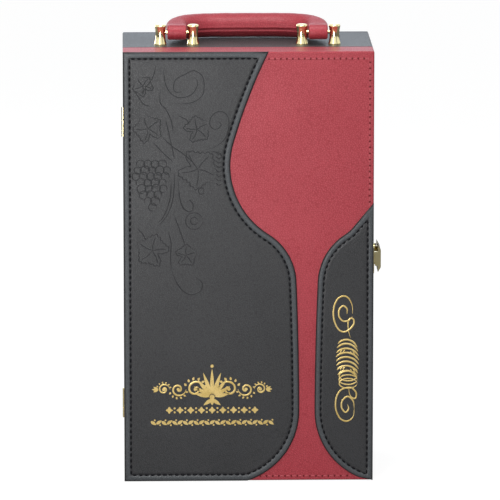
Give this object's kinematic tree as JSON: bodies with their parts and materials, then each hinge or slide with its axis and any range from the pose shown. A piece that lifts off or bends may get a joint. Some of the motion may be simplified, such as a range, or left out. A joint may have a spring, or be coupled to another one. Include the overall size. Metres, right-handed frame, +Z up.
{
  "type": "wine accessory gift box",
  "caption": "Upright leather-covered gift box for wine bottles, with a hinged door, a folding carrying handle, a side latch and wine tools in the door.",
  "frame": {"origin": "the middle of the closed box's footprint, on the surface it stands on", "axes": "+Z up, -Y out of the door's front, +X towards the latch"},
  "size_m": [0.2076, 0.1116, 0.3699],
  "materials": {
    "red_leather": "satin",
    "black_leather": "satin",
    "board": "matte",
    "velvet": "matte",
    "gold": "polished",
    "chrome": "polished",
    "steel": "satin",
    "rubber": "matte",
    "dark_wood": "satin"
  },
  "bodies": {
    "case": {"case_left_board": "board", "case_right_board": "board", "case_top_board": "board", "case_bottom_board": "board", "case_back_board": "board", "case_wrap": "black_leather", "case_back_cover": "black_leather", "case_base_cover": "black_leather", "case_lining": "velvet", "bottle_tray": "velvet", "handle_post_left_outer": "gold", "handle_post_left_inner": "gold", "handle_post_right_inner": "gold", "handle_post_right_outer": "gold", "handle_pin_left": "gold", "handle_pin_right": "gold", "handle_post_screws": "steel", "hinge_case_leaf_lower": "gold", "hinge_case_leaf_upper": "gold", "hinge_pin_lower": "gold", "hinge_pin_upper": "gold", "latch_base": "gold", "latch_pin": "gold"},
    "door": {"door_face_board": "board", "door_top_rail": "board", "door_bottom_rail": "board", "door_hinge_rail": "board", "door_latch_rail": "board", "door_skin": "red_leather", "door_panel_left": "black_leather", "door_panel_right": "black_leather", "hinge_door_leaf_lower": "gold", "hinge_door_leaf_upper": "gold", "latch_keeper": "gold", "door_tool_tray": "velvet", "corkscrew_bar": "dark_wood", "corkscrew_worm": "chrome", "pourer_plug": "rubber", "pourer_spout": "chrome", "stopper_plug": "rubber", "stopper_knob": "chrome", "drip_ring": "chrome"},
    "handle": {"handle_grip": "red_leather", "handle_loop_left": "red_leather", "handle_loop_right": "red_leather"},
    "latch_lever": {"latch_lever": "gold"}
  },
  "joints": [
    {"name": "door_swing", "type": "hinge", "parent": "case", "child": "door", "pos_m": [-0.1001, -0.0295, 0.175], "axis": [0, 0, -1], "range_deg": [0, 175]},
    {"name": "handle_swing", "type": "hinge", "parent": "case", "child": "handle", "pos_m": [0, -0.016, 0.3601], "axis": [1, 0, 0], "range_deg": [0, 180]},
    {"name": "latch_turn", "type": "hinge", "parent": "case", "child": "latch_lever", "pos_m": [0.1025, -0.017, 0.18], "axis": [0, 0, 1], "range_deg": [0, 85]}
  ]
}
